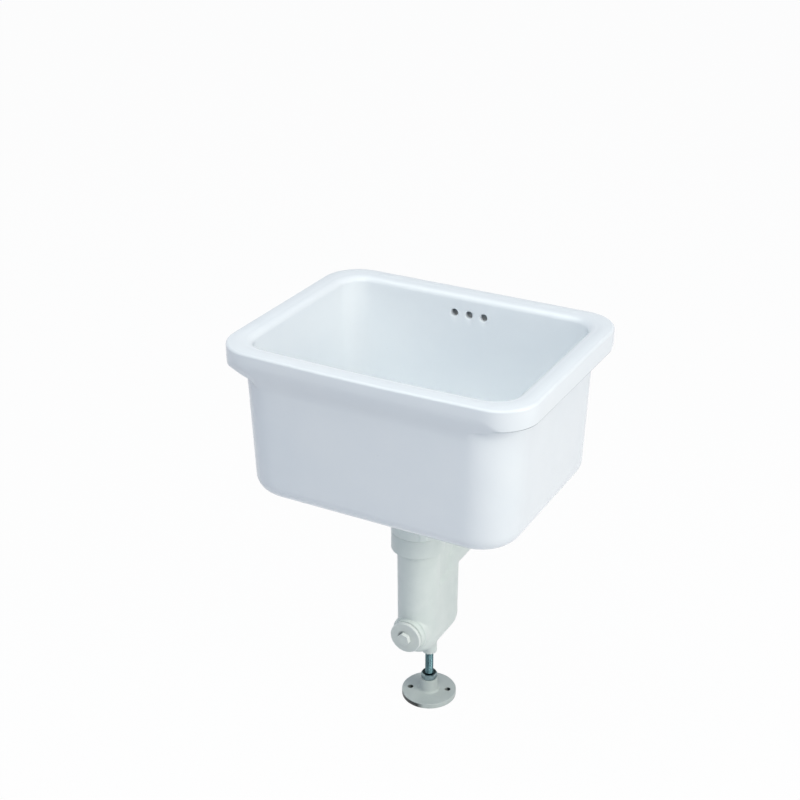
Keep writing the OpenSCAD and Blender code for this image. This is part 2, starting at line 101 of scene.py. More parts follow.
def vectors(operation, first, second=None):
    # vector maths, of which three operations give a plain number
    inputs = {0: first} if second is None else {0: first, 1: second}
    number = operation in ("DOT_PRODUCT", "DISTANCE", "LENGTH")
    return first.node("ShaderNodeVectorMath", {"operation": operation}, inputs, 1 if number else 0)


def noise(start, scale, detail=2.0, rough=0.5, stretch=(1, 1, 1)):
    spread = start.node("ShaderNodeMapping", {}, {"Vector": placeOf(start), "Scale": stretch})
    return start.node("ShaderNodeTexNoise", {}, {"Vector": spread, "Scale": scale, "Detail": detail,
                                                 "Roughness": rough})


def band(value, low, high, fromLow, fromHigh):
    # value from fromLow..fromHigh onto low..high, held at its ends
    return value.node("ShaderNodeMapRange", {}, {
        "Value": value, "From Min": fromLow, "From Max": fromHigh, "To Min": low, "To Max": high})


def blend(first, second, share):
    # a colour between two colours
    return share.node("ShaderNodeMix", {"data_type": "RGBA"}, {0: share, 6: first, 7: second}, out=2)


def bump(start, height, depth, strength=1.0, under=None):
    inputs = {"Height": height, "Distance": depth, "Strength": strength}
    if under is not None:
        inputs["Normal"] = under
    return start.node("ShaderNodeBump", {}, inputs)


def surface(start, base, rough, normal, more=None):
    inputs = {"Base Color": base, "Roughness": rough, "Normal": normal, **(more or {})}
    shader = start.node("ShaderNodeBsdfPrincipled", {}, inputs)
    start.node("ShaderNodeOutputMaterial", {}, {"Surface": shader})


def middleOf(node):
    low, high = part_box(node)
    return (low + high) / 2 / mm


def cornersOf(node):
    low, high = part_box(node)
    return low / mm, high / mm


def levels(node):
    return [corner[2] for corner in cornersOf(node)]


# Camera, lamps and floor

cameraSet = {
    "place": (841.8, -1807.1, 856.0),  # mm, from the middle of the wall screws
    "turn": 28.29,                     # degrees round the sink
    "dip": 25.77,                      # degrees downwards
    "lens": 65.78,
}

lampSet = {
    "side": {"place": (2.0, -0.3, 0.7), "size": 1.1, "watts": 21.7, "tint": (1.0, 0.967, 0.88)},
    "top": {"place": (-0.6, -0.6, 2.0), "size": 1.6, "watts": 20.4, "tint": (0.97, 1.0, 0.95)},
    "front": {"place": (0.8, -2.0, 1.8), "size": 1.4, "watts": 25.4, "tint": (1.0, 0.99, 0.925)},
}

roomSet = {
    "glow": 0.24, "tint": (0.49, 0.64, 1.0, 1.0), "floor": (0.86, 0.87, 0.88, 1.0), "reach": 8.0,
    "clean": 0.97,       # the floor's share of plain white
    "footPrint": 0.041,  # m round the foot that stay out of it
}


def makeCamera():
    data = bpy.data.cameras.new("camera")
    data.lens = cameraSet["lens"]
    data.clip_end = 30
    camera = bpy.data.objects.new("camera", data)
    camera.location = Vector(cameraSet["place"]) * mm
    camera.rotation_euler = (math.radians(90 - cameraSet["dip"]), 0, math.radians(cameraSet["turn"]))
    scene.collection.objects.link(camera)
    scene.camera = camera


def makeLamps():
    middle = Vector((0, -0.18, -0.1))
    for name, spec in lampSet.items():
        data = bpy.data.lights.new(name, "AREA")
        data.size = spec["size"]
        data.energy = spec["watts"]
        data.color = spec["tint"]
        lamp = bpy.data.objects.new(name, data)
        lamp.location = spec["place"]
        lamp.rotation_euler = (middle - lamp.location).to_track_quat("-Z", "Y").to_euler()
        scene.collection.objects.link(lamp)


def seenAsBackground(start):
    # camera, mirror and glass rays see the plain white behind the sink
    rays = [start.node("ShaderNodeLightPath", out=at) for at in (0, 3, 6)]
    seen = rays[0] + rays[1] + rays[2]
    return start.node("ShaderNodeMath", {"operation": "MINIMUM"}, {0: seen, 1: 1.0})


def makeRoom():
    world = bpy.data.worlds.new("room")
    world.use_nodes = True
    world.node_tree.nodes.clear()
    start = Wire(world.node_tree)
    seen = seenAsBackground(start)
    glow = start.node("ShaderNodeBackground", {}, {"Color": roomSet["tint"], "Strength": roomSet["glow"]})
    plain = start.node("ShaderNodeBackground", {}, {"Color": (1, 1, 1, 1), "Strength": 1.0})
    both = start.node("ShaderNodeMixShader", {}, {0: seen, 1: glow, 2: plain})
    start.node("ShaderNodeOutputWorld", {}, {"Surface": both})
    scene.world = world

    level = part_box("foot_flange")[0].z
    reach = roomSet["reach"]
    corners = [(x * reach, y * reach, level) for x, y in ((-1, -1), (1, -1), (1, 1), (-1, 1))]
    mesh = bpy.data.meshes.new("floor")
    mesh.from_pydata(corners, [], [(0, 1, 2, 3)])
    floor = bpy.data.objects.new("floor", mesh)
    scene.collection.objects.link(floor)
    material, start = newFinish("pale floor")
    lit = start.node("ShaderNodeBsdfDiffuse", {}, {"Color": roomSet["floor"]})
    plain = start.node("ShaderNodeEmission", {}, {"Color": (1, 1, 1, 1), "Strength": 1.0})
    # the floor that shows through the foot's holes keeps its shade
    away = vectors("DISTANCE", placeOf(start), (0.0, middleOf("foot_screw")[1] * mm, level))
    bare = band(away, 0, 1, roomSet["footPrint"] - 0.001, roomSet["footPrint"])
    share = seenAsBackground(start) * roomSet["clean"] * bare
    both = start.node("ShaderNodeMixShader", {}, {0: share, 1: lit, 2: plain})
    start.node("ShaderNodeOutputMaterial", {}, {"Surface": both})
    mesh.materials.append(material)


makeCamera()
makeLamps()
makeRoom()
print("camera, lamps and floor are set")

# Finishes

chinaSet = {
    "white": colour(243, 247, 249),
    "cool": colour(239, 244, 247),
    "speck": colour(150, 152, 150),
    "gloss": (0.17, 0.24),
    "ripple": 0.25,   # mm
    "pores": 0.012,
    "pinholes": 90.0,
    "foot": colour(158, 164, 170),         # painted shade along the rim's lower edge, for the shadow under its lip
    "footFrom": (0.185, 0.222),            # m to the right, where it starts and is full
    "footLine": (0.0425, 0.0452, 0.0461),  # m up, its lowest, full and highest level
    "middle": (0.0, -0.18, 0.045),
}


def chinaGlaze():
    material, start = newFinish("china glaze")
    cloud = noise(start, 7.0, 3.0)
    base = blend(chinaSet["white"], chinaSet["cool"], band(cloud, 0, 1, 0.35, 0.65))
    # rare pinholes in the glaze
    place = placeOf(start)
    cells, chosen = [start.node("ShaderNodeTexVoronoi", {}, {"Vector": place, "Scale": chinaSet["pinholes"]},
                                at) for at in (0, 1)]
    pick = start.node("ShaderNodeSeparateColor", {}, {"Color": chosen})
    pinhole = band(cells, 1, 0, 0.02, 0.05) * band(pick, 0, 1, 0.93, 0.94)
    # a painted shade line along the rim's foot on the right, on its outside, for the shadow under the lip
    under, line, above = chinaSet["footLine"]
    up = part(place, 2)
    outside = vectors("DOT_PRODUCT", vectors("SUBTRACT", place, chinaSet["middle"]), facingOf(start))
    lipShade = band(part(place, 0), 0, 1, *chinaSet["footFrom"]) * band(up, 1, 0, line, above)
    lipShade = lipShade * band(up, 0, 1, under - 0.001, under) * band(outside, 0, 1, 0.0, 0.02)
    shade = blend(blend(base, chinaSet["speck"], pinhole * 0.5), chinaSet["foot"], lipShade)
    gloss = band(noise(start, 45.0, 3.0), *chinaSet["gloss"], 0.3, 0.7)
    rippled = bump(start, noise(start, 11.0, 1.0), chinaSet["ripple"] * mm * 4)
    normal = bump(start, noise(start, 420.0, 2.0), chinaSet["pores"] * mm * 2, 0.5, rippled)
    surface(start, shade, gloss, normal, {"Specular IOR Level": 0.45})
    return material


enamelSet = {
    "trap": (colour(231, 238, 232), colour(220, 229, 223)),
    # the plug's paint is lighter than the trap's: a painted highlight on its bevel and hexagon's sides
    "plug": (colour(238, 242, 238), colour(228, 234, 229)),
    "foot": (colour(203, 211, 206), colour(190, 199, 194)),
    # the gland nut's paint is the trap's, painted lighter as painted light where the basin shades it
    "gland": (colour(240, 247, 241), colour(231, 239, 233)),
    "pale": (colour(196, 203, 197), colour(184, 191, 186)),
}
footShadeSet = {
    "shadow": colour(20, 30, 29),
    "side": (-0.88, -0.474, 0.0),  # the side of the foot that is painted dark as shade
    "edge": (0.22, 0.45),          # how far a face turns there, on the edge and in the holes
    "holes": (-0.4, 0.3),
    "high": 0.0072,                # m up the flange's edge
    "within": (0.0385, 0.0395),    # m from the foot's middle
}
plugShadowSet = {
    "face": colour(219, 225, 219),    # the plug's front, painted darker than its sides as painted shade, so its lighter sides read as highlighted
    "corner": colour(84, 97, 95),     # painted shadow round its hexagon
    "reach": (0.0100, 0.0128),        # m from the plug's middle
    "lean": (-95.0, 0.0, 32.0),       # to the side where most of it lies
}


def footShade(start, base):
    # painted shade: the flange's edge is painted near black on its left, and so are the walls of its holes
    s = footShadeSet
    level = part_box("foot_flange")[0].z + s["high"]
    place = placeOf(start)
    side = vectors("DOT_PRODUCT", facingOf(start), s["side"])
    up = part(place, 2)
    arm = vectors("SUBTRACT", place, (0.0, middleOf("foot_flange")[1] * mm, level))
    away = vectors("LENGTH", vectors("MULTIPLY", arm, (1.0, 1.0, 0.0)))
    edge = band(side, 0, 1, *s["edge"]) * band(up, 1, 0, level - 0.0006, level)
    inside = band(away, 1, 0, *s["within"]) * band(up, 1, 0, level + 0.0004, level + 0.0009)
    return blend(base, s["shadow"], edge + inside * band(side, 0.45, 1, *s["holes"]))


def plugShade(start, base):
    # painted shadow in the corner round the hexagon's foot, most of it to one side
    s = plugShadowSet
    arm = vectors("SUBTRACT", placeOf(start), (0.0, plugSet["back"] * mm, trapSet["cleanout"] * mm))
    flat = vectors("MULTIPLY", arm, (1.0, 0.0, 1.0))
    low = -(plugSet["thick"] + 0.5) * mm
    share = band(vectors("LENGTH", flat), 1, 0, *s["reach"]) * band(part(arm, 1), 0, 1, low - 0.0003, low)
    share = share * band(vectors("DOT_PRODUCT", flat, s["lean"]), 0.08, 0.9, 0.2, 0.85)
    # painted shade: the face turned to the front takes the darker colour
    base = blend(base, s["face"], band(part(facingOf(start), 1), 1, 0, -0.97, -0.90))
    return blend(base, s["corner"], share)


def castEnamel(name, grain=1.0, lumps=1.0, gloss=(0.3, 0.42), paintedShade=None):
    # thick satin enamel brushed over a sand casting
    material, start = newFinish(name + " enamel")
    cloud = noise(start, 28.0, 4.0, 0.6)
    streak = noise(start, 16.0, 3.0, 0.5, (1, 1, 0.25))
    share = band(cloud, 0, 0.6, 0.35, 0.7) + band(streak, 0, 0.4, 0.4, 0.7)
    base = blend(*enamelSet[name], share)
    # where given, painted shade is mixed into the base colour
    if paintedShade:
        base = paintedShade(start, base)
    sheen = band(noise(start, 60.0, 3.0), *gloss, 0.3, 0.7)
    lumpy = bump(start, noise(start, 75.0, 2.0), 0.5 * mm * lumps, 0.55)
    sandy = bump(start, noise(start, 700.0, 3.0, 0.6), 0.12 * mm * grain, 0.6, lumpy)
    surface(start, base, sheen, sandy)
    return material


metalSet = {
    "zinc": {"light": (0.30, 0.38, 0.41, 1), "deep": (0.14, 0.21, 0.24, 1), "gloss": (0.14, 0.28),
             "size": 150},
    "rod": {"light": (0.13, 0.23, 0.26, 1), "deep": (0.004, 0.03, 0.035, 1), "gloss": (0.16, 0.34),
            "size": 150, "stretch": (1, 1, 0.12)},
    # the nut's top colour is a painted dark reflection on its level face
    "nut": {"light": (0.25, 0.33, 0.35, 1), "deep": (0.10, 0.16, 0.18, 1), "gloss": (0.12, 0.24),
            "size": 110, "top": (0.006, 0.016, 0.018, 1)},
    "plate": {"light": (0.80, 0.81, 0.82, 1), "deep": (0.70, 0.71, 0.73, 1), "gloss": (0.06, 0.14),
              "size": 60},
    "steel": {"light": (0.70, 0.71, 0.72, 1), "deep": (0.58, 0.59, 0.61, 1), "gloss": (0.18, 0.30),
              "size": 120},
    "brass": {"light": (0.83, 0.66, 0.36, 1), "deep": (0.66, 0.49, 0.25, 1), "gloss": (0.22, 0.38),
              "size": 90},
}


def metal(name, brushed=0.0):
    material, start = newFinish(name + " metal")
    spec = metalSet[name]
    patch = noise(start, spec["size"], 4.0, 0.6, spec.get("stretch", (1, 1, 1)))
    base = blend(spec["light"], spec["deep"], band(patch, 0, 1, 0.35, 0.7))
    if "top" in spec:
        # painted reflection: the level face is painted dark
        base = blend(base, spec["top"], band(part(facingOf(start), 2), 0, 1, 0.80, 0.95))
    sheen = band(noise(start, spec["size"] * 1.7, 3.0), *spec["gloss"], 0.3, 0.7)
    fine = noise(start, 900.0, 2.0, 0.6, (1, 1, 1 + 6 * brushed))
    normal = bump(start, fine, 0.02 * mm, 0.5 + 0.4 * brushed)
    surface(start, base, sheen, normal, {"Metallic": 1.0})
    return material


def sealRubber():
    material, start = newFinish("seal rubber")
    dust = noise(start, 50.0, 4.0, 0.6)
    base = blend((0.022, 0.022, 0.023, 1), (0.05, 0.05, 0.052, 1), band(dust, 0, 1, 0.4, 0.7))
    sheen = band(dust, 0.55, 0.75, 0.3, 0.7)
    normal = bump(start, noise(start, 600.0, 2.0), 0.05 * mm, 0.5)
    surface(start, base, sheen, normal)
    return material


trapSet = {
    "hub": (39.25, -260.5, -231.0), "hubAt": -187.5, "neck": (35.0, -231.0, -217.0),
    "legs": (-185.0, -122.0), "leg": 31.5, "taper": 1.0, "legTop": -260.5, "bend": -412.0,
    "outlet": -308.0, "pipe": 32.0, "pipeEnd": -28.0, "thread": 29.8, "lead": 2.309,
    "web": -326.0, "notch": (25.5, -268.0), "way": 25.5, "packing": (31.0, -227.3),
    "cleanout": -398.0, "bossFace": -221.0, "boss": 24.75, "plugBore": 19.1,
    "saddle": (29.5, 27.5, -213.5),
    "screwAt": -147.5, "screwBoss": 11.6, "screwLow": -471.0, "screwBore": (6.4, -445.0),
    "cell": 1.2,
}
plugSet = {
    "back": -223.0, "radius": 24.25, "thick": 5, "bevel": 1.4, "thread": 19.0, "long": 15, "lead": 2.309,
    "flats": 17, "head": 6.5, "turn": 14, "corner": 9.65,
}

china = chinaGlaze()
trapEnamel = castEnamel("trap")
glandLitEnamel = castEnamel("gland")
plugEnamel = castEnamel("plug", 0.8, 0.5, (0.3, 0.42), plugShade)
footEnamel = castEnamel("foot", 1.0, 0.7, (0.30, 0.42), footShade)
paleRubber = castEnamel("pale", 0.3, 0.3, (0.5, 0.6))
zinc = metal("zinc")
rod = metal("rod")
nutZinc = metal("nut")
plate = metal("plate")
steel = metal("steel")
brass = metal("brass", 1.0)
rubber = sealRubber()
print("finishes are mixed")

# Tools for the meshes


def smoothstep(value, low, high):
    share = np.clip((value - low) / (high - low), 0, 1)
    return share * share * (3 - 2 * share)


def rounded(corners, steps=6):
    # a line through (radius, height, fillet) corners, each turned by an arc
    points = []
    for at, (r, z, fillet) in enumerate(corners):
        here = Vector((r, z))
        if fillet <= 0 or at in (0, len(corners) - 1):
            points.append((r, z))
            continue
        before = (Vector(corners[at - 1][:2]) - here).normalized()
        after = (Vector(corners[at + 1][:2]) - here).normalized()
        angle = before.angle(after)
        reach = fillet / math.tan(angle / 2)
        middle = here + (before + after).normalized() * fillet / math.sin(angle / 2)
        first = here + before * reach - middle
        last = here + after * reach - middle
        for step in range(steps + 1):
            arm = first.lerp(last, step / steps).normalized() * fillet
            points.append(tuple(middle + arm))
    return points


def rounding(corners, steps=6):
    # the same line, closed on itself
    wrapped = [corners[-1]] + list(corners) + [corners[0]]
    return rounded(wrapped, steps)[1:-1]


def joinRings(rings, closed=False):
    # quads over rings with equal counts, their open ends filled
    count = len(rings[0])
    points = [tuple(point) for ring in rings for point in ring]
    faces = []
    for k in range(len(rings) if closed else len(rings) - 1):
        low = k * count
        high = (k + 1) % len(rings) * count
        for i in range(count):
            j = (i + 1) % count
            faces.append((low + i, low + j, high + j, high + i))
    if not closed:
        faces.append(tuple(reversed(range(count))))
        faces.append(tuple(range((len(rings) - 1) * count, len(rings) * count)))
    return points, faces


def allRound(steps):
    # the angles of a ring's points
    return np.linspace(0, 2 * math.pi, steps, endpoint=False)


def turned(profile, steps=96, closed=False):
    # the profile of (radius, height) turned about Z
    angles = allRound(steps)
    ends = [0.05 if r < 0.05 else r for r, z in profile]
    rings = [[(r * math.cos(a), r * math.sin(a), z) for a in angles] for r, (_, z) in zip(ends, profile)]
    return joinRings(rings, closed)


def moved(shape, middle, turn=None):
    # from mm about a piece's own axis to the sink's frame
    points = np.array(shape[0], float)
    if turn is not None:
        points = points @ np.array(turn.to_3x3()).T
    return points + np.array(middle), shape[1]


def block(low, high):
    # a plain box between two corners, for a cut
    return joinRings([[(low[0], low[1], z), (high[0], low[1], z), (high[0], high[1], z), (low[0], high[1], z)]
                      for z in (low[2], high[2])])


def addPiece(name, shape, body, material, slot, nodes=(), sharp=32):
    points, faces = shape
    mesh = bpy.data.meshes.new(name)
    mesh.from_pydata((np.array(points, float) * mm).tolist(), [], faces)
    mesh.validate()
    mesh.update()
    piece = bpy.data.objects.new(name, mesh)
    scene.collection.objects.link(piece)
    if material is not None:
        mesh.materials.append(material)
    finishNormals(piece, sharp)
    if body:
        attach(piece, body)
        if nodes:
            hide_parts(*nodes)
    return piece


def finishNormals(piece, sharp=32):
    mesh = piece.data
    mesh.shade_smooth()
    mesh.set_sharp_from_angle(angle=math.radians(sharp))


def carve(piece, shape, operation="DIFFERENCE"):
    tool = addPiece("tool", shape, None, None, None)
    change = piece.modifiers.new("carve", "BOOLEAN")
    change.operation = operation
    change.solver = "MANIFOLD"
    change.object = tool
    depsgraph = bpy.context.evaluated_depsgraph_get()
    made = bpy.data.meshes.new_from_object(piece.evaluated_get(depsgraph))
    piece.modifiers.clear()
    old = piece.data
    made.name = old.name
    piece.data = made
    bpy.data.objects.remove(tool)
    bpy.data.meshes.remove(old)
    finishNormals(piece)
    return piece


# Shapes given by a distance, for what is cast or pressed


def softUnion(first, second, fillet):
    share = np.clip(0.5 + 0.5 * (second - first) / fillet, 0, 1)
    return second + (first - second) * share - fillet * share * (1 - share)


def softCommon(first, second, fillet):
    return -softUnion(-first, -second, fillet)


def around(a, b):
    return np.sqrt(a * a + b * b)


def bar(along, radius, low, high, fillet=1.5):
    # a round bar from low to high: along is the place on its axis, radius the distance off its side
    return softCommon(radius, np.abs(along - (low + high) / 2) - (high - low) / 2, fillet)


def brick(x, y, z, low, high, edge):
    # a block between two corners with rounded edges
    sides = [np.abs(v - (a + b) / 2) - (b - a) / 2 + edge for v, a, b in zip((x, y, z), low, high)]
    outside = np.sqrt(sum(np.maximum(side, 0) ** 2 for side in sides))
    inside = np.minimum(np.maximum(np.maximum(sides[0], sides[1]), sides[2]), 0)
    return outside + inside - edge


def shapeFrom(distance, low, high, cell):
    # one point in each grid cell that the surface crosses, drawn onto it, and quads between them
    low = np.array(low, float) - 2 * cell
    high = np.array(high, float) + 2 * cell
    counts = np.ceil((high - low) / cell).astype(int) + 1
    axes = [low[k] + cell * np.arange(counts[k]) for k in range(3)]
    value = distance(*np.meshgrid(*axes, indexing="ij", sparse=True))
    inside = value < 0
    spans = (slice(0, -1), slice(1, None))
    unit = np.eye(3, dtype=int)
    offsets = [(i, j, k) for i in (0, 1) for j in (0, 1) for k in (0, 1)]
    filled = sum(inside[spans[i], spans[j], spans[k]].astype(np.int8) for i, j, k in offsets)
    mixed = (filled > 0) & (filled < 8)
    cells = np.argwhere(mixed)
    number = np.full(mixed.shape, -1)
    number[mixed] = np.arange(len(cells))
    total = np.zeros((len(cells), 3))
    hits = np.zeros(len(cells))
    for start in offsets:
        for axis in (k for k in range(3) if not start[k]):
            a = value[tuple((cells + start).T)]
            b = value[tuple((cells + start + unit[axis]).T)]
            crossed = (a < 0) != (b < 0)
            share = np.where(crossed, a / np.where(crossed, a - b, 1), 0)
            total += (start + share[:, None] * unit[axis]) * crossed[:, None]
            hits += crossed
    points = low + cell * (cells + total / hits[:, None])
    tiny = 0.02
    for _ in range(3):
        ahead, behind = [[distance(*(points + way * tiny * step).T) for step in unit] for way in (1, -1)]
        slope = np.stack([(a - b) / 2 / tiny for a, b in zip(ahead, behind)], 1)
        push = distance(*points.T) / np.maximum((slope ** 2).sum(1), 0.2)
        points -= slope * np.clip(push, -cell / 2, cell / 2)[:, None]
    faces = []
    for axis in range(3):
        u, v = (axis + 1) % 3, (axis + 2) % 3
        leaves = -np.diff(inside.astype(np.int8), axis=axis)
        edges = np.argwhere(leaves != 0)
        edges = edges[(edges[:, u] > 0) & (edges[:, v] > 0)]
        quad = np.stack([number[tuple((edges - du * unit[u] - dv * unit[v]).T)]
                         for du, dv in ((1, 1), (0, 1), (0, 0), (1, 0))], 1)
        back = leaves[tuple(edges.T)] < 0
        quad[back] = quad[back][:, ::-1]
        faces += quad.tolist()
    return points, faces


# The basin

basinSet = {
    "wide": 455, "deep": 357, "tall": 225,
    "corner": 56, "apron": 31, "under": (9, 1.5), "swell": 3.5, "crown": 0.8,
    "outerTurn": (4.5, 4.5), "innerTurn": (12.0, 10.0),   # mm across and down, where the crest rolls over
    "sideStep": 21.5, "frontStep": 12, "backStep": 17, "draft": 5,
    "bodyCorner": 60, "turnUnder": 24, "cove": 1.5,
    "china": 16, "floor": 18, "slope": 2.0, "rim": 32.5, "bowlCorner": 35, "bowlTurn": 30,
    "aboveScrews": 75,
    "ogee": (28, 17),             # mm below and above the apron's foot, where the front runs into the apron
    "soft": (-46, -16, -2, 32),   # degrees from the front, where that softer shoulder starts and ends
    "keen": (-60, -40, 88, 108),  # and where the apron's foot has the smaller of its two roundings
}
ductSet = {
    "wide": 76, "deep": 9, "front": 152.5, "china": 7, "cover": 167.5,
    "holes": (-23.5, 0, 23.5), "hole": 5.5, "lip": 2.0, "drop": 29.6, "lean": 2.0,
}
bossSet = {"radius": 52, "tall": 10, "flare": 5, "bore": 30.6, "seat": 42.6, "seatDeep": 8}
pocketSet = {"apart": 130, "wide": 51, "front": 161, "deep": 7, "up": 16}


def sideRun(half, count):
    return np.linspace(-half, half, count + 2)[1:-1]


def backRun(half):
    # closer points where the duct's cover rises
    stops = [(-half, -54, 14), (-54, -36, 9), (-36, 36, 12), (36, 54, 9), (54, half, 14)]
    runs = [np.linspace(low, high, count, endpoint=False) for low, high, count in stops]
    return np.concatenate(runs)[1:]


def basinRing(side, end, corner, swell, z, forward=0.0):
    wide = basinSet["wide"] / 2 - side
    deep = basinSet["deep"] / 2 - end
    a, b = wide - corner, deep - corner
    points = []
    for at, (cx, cy) in enumerate(((a, b), (-a, b), (-a, -b), (a, -b))):
        turn = np.radians(90 * at + np.linspace(0, 90, 17))
        points += [(cx + corner * math.cos(t), cy + corner * math.sin(t)) for t in turn]
        if at == 0:
            points += [(-x, deep) for x in backRun(a)]
        if at == 1:
            points += [(-wide, -y) for y in sideRun(b, 22)]
        if at == 2:
            front = sideRun(a, len(backRun(a)))
            points += [(x, -deep - swell * (1 - (x / a) ** 2) ** 1.25) for x in front]
        if at == 3:
            points += [(wide, y) for y in sideRun(b, 22)]
    return np.array([(x, y - forward, z) for x, y in points])


def facingShare(span):
    # 1 where a ring's point faces within the span, 0 past it
    facing = []
    for at in range(4):
        facing += list(90 * at + np.linspace(0, 90, 17))
        run = len(backRun(basinSet["wide"] / 2)) if at in (0, 2) else 22
        facing += [90 * (at + 1)] * run
    past = (np.array(facing) + 90 + 180) % 360 - 180
    a, b, c, d = span
    return smoothstep(past, a, b) * (1 - smoothstep(past, c, d))


def quarter(count=8):
    return [math.radians(90 * i / count) for i in range(count + 1)]


def basinShape():
    s = basinSet
    midStep = (s["frontStep"] + s["backStep"]) / 2
    forward = s["backStep"] - midStep
    lowSide, lowEnd = s["sideStep"] + s["draft"], midStep + s["draft"]
    bowlSide, bowlEnd = lowSide + s["china"], s["backStep"] + s["draft"] + s["china"]
    wall = s["rim"]
    outerWide, outerDeep = s["outerTurn"]
    innerWide, innerDeep = s["innerTurn"]
    flat = wall - outerWide - innerWide
    rings = []
    # outside, from the underside up
    for a in reversed(quarter(8)):
        inset = s["turnUnder"] * (1 - math.cos(a))
        rings.append(basinRing(lowSide + inset, lowEnd + inset, s["bodyCorner"] - inset, 0,
                               s["turnUnder"] * (1 - math.sin(a)) - s["tall"], forward))
    bodyLow = s["turnUnder"] - s["tall"]
    soft = facingShare(s["soft"])[:, None]
    keen = facingShare(s["keen"])[:, None]

    def bodyRing(share, high):
        return basinRing(lowSide - s["draft"] * share, lowEnd - s["draft"] * share, s["bodyCorner"],
                         s["swell"] / 2 * share, bodyLow + (high - bodyLow) * share, forward)

    down, up = s["ogee"]
    crispHigh, softHigh = -s["apron"] - s["cove"], -s["apron"] - down
    for share in np.linspace(0, 1, 14)[1:]:
        rings.append(bodyRing(share, crispHigh) * (1 - soft) + bodyRing(share, softHigh) * soft)

    # a crisp foot under the apron, and an easy run into it at the front
    def coveRing(a):
        inset = s["cove"] * (1 - math.cos(a))
        return basinRing(s["sideStep"] - inset, midStep - inset, s["bodyCorner"] + inset / 2, s["swell"] / 2,
                         crispHigh + s["cove"] * math.sin(a), forward)

    def footRing(a, under):
        inset = under * (1 - math.cos(a))
        return basinRing(inset, inset, s["corner"] - inset, s["swell"],
                         under * (1 - math.sin(a)) - s["apron"])

    easyUnder, keenUnder = s["under"]
    crisp = [coveRing(a) for a in quarter(5)[1:]]
    for a in reversed(quarter(10)):
        crisp.append(footRing(a, easyUnder) * (1 - keen) + footRing(a, keenUnder) * keen)
    for at, ring in enumerate(crisp):
        share = (at + 1) / len(crisp)
        rise = share * share * (3 - 2 * share)
        left = 1 - rise
        corner = s["bodyCorner"] + (s["corner"] - s["bodyCorner"]) * rise
        easy = basinRing(s["sideStep"] * left, midStep * left, corner, s["swell"] * (1 + rise) / 2,
                         softHigh + (down + up) * share, forward * left)
        rings.append(ring * (1 - soft) + easy * soft)
    # over the rim
    lowCorner = s["bowlCorner"] + innerWide
    highCorner = s["corner"] - outerWide
    for a in quarter(12):
        inset = outerWide * (1 - math.cos(a))
        rings.append(basinRing(inset, inset, s["corner"] - inset, s["swell"],
                               outerDeep * (math.sin(a) - 1) - s["crown"] * math.sin(a)))
    for share in np.linspace(0, 1, 8)[1:-1]:
        inset = outerWide + flat * share
        corner = highCorner + (lowCorner - highCorner) * share
        rings.append(basinRing(inset, inset, corner, s["swell"], s["crown"] * (4 * share * (1 - share) - 1)))
    # down into the bowl
    for a in quarter(12):
        inset = wall - innerWide * (1 - math.sin(a))
        rings.append(basinRing(inset, inset, s["bowlCorner"] + wall - inset, s["swell"],
                               innerDeep * (math.cos(a) - 1) - s["crown"] * math.cos(a)))
    wallHigh, wallLow = -innerDeep, s["floor"] + s["bowlTurn"] + s["slope"] - s["tall"]
    for share in np.linspace(0, 1, 14)[1:-1]:
        side, end = wall + (bowlSide - wall) * share, wall + (bowlEnd - wall) * share
        rings.append(basinRing(side, end, s["bowlCorner"], s["swell"] * (1 - share),
                               wallHigh + (wallLow - wallHigh) * share))
    for a in quarter(12):
        inset = s["bowlTurn"] * (1 - math.cos(a))
        rings.append(basinRing(bowlSide + inset, bowlEnd + inset, s["bowlCorner"] - inset * 0.8, 0,
                               wallLow - s["bowlTurn"] * math.sin(a)))
    # the duct's cover rises out of the back of the body
    for ring in rings[:len(quarter(8)) + 13 + len(quarter(5)) - 1]:
        height = smoothstep(52 - np.abs(ring[:, 0]), 0, 12) * (ring[:, 1] > 100)
        ring[:, 1] += height * (ductSet["cover"] - ring[:, 1])
    # the floor falls gently to the drain, where the waste's flange has its recess
    drain = np.array(drainPlace[:2])
    edge = rings[-1]
    spokes = edge[:, :2] - drain
    reach = np.linalg.norm(spokes, axis=1)[:, None]
    floor, seat = s["floor"] - s["tall"], bossSet["seat"]
    for share in (0.2, 0.4, 0.6, 0.8, 1.0):
        radius = reach + (seat + 9 - reach) * share
        flat = drain + spokes / reach * radius
        rings.append(np.column_stack([flat, edge[:, 2] - (s["slope"] - 0.2) * share]))
    recess = rounded([(seat + 9, floor + 0.2, 0), (seat, floor, 1.5), (seat, floor - bossSet["seatDeep"], 1),
                      (bossSet["bore"] + 2, floor - bossSet["seatDeep"], 0)])
    for radius, height in recess[1:]:
        flat = drain + spokes / reach * radius
        rings.append(np.column_stack([flat, np.full(len(flat), height)]))
    return joinRings(rings)


def trumpet(radius, lip, long):
    # a hole's cutter whose mouth at height 0 opens in a rounded lip
    return rounded([(0, -long, 0), (radius, -long, 0), (radius, 0, lip), (radius + 2 * lip, 0.5, 0),
                    (radius + 2 * lip, 3.0, 0), (0, 3.0, 0)])


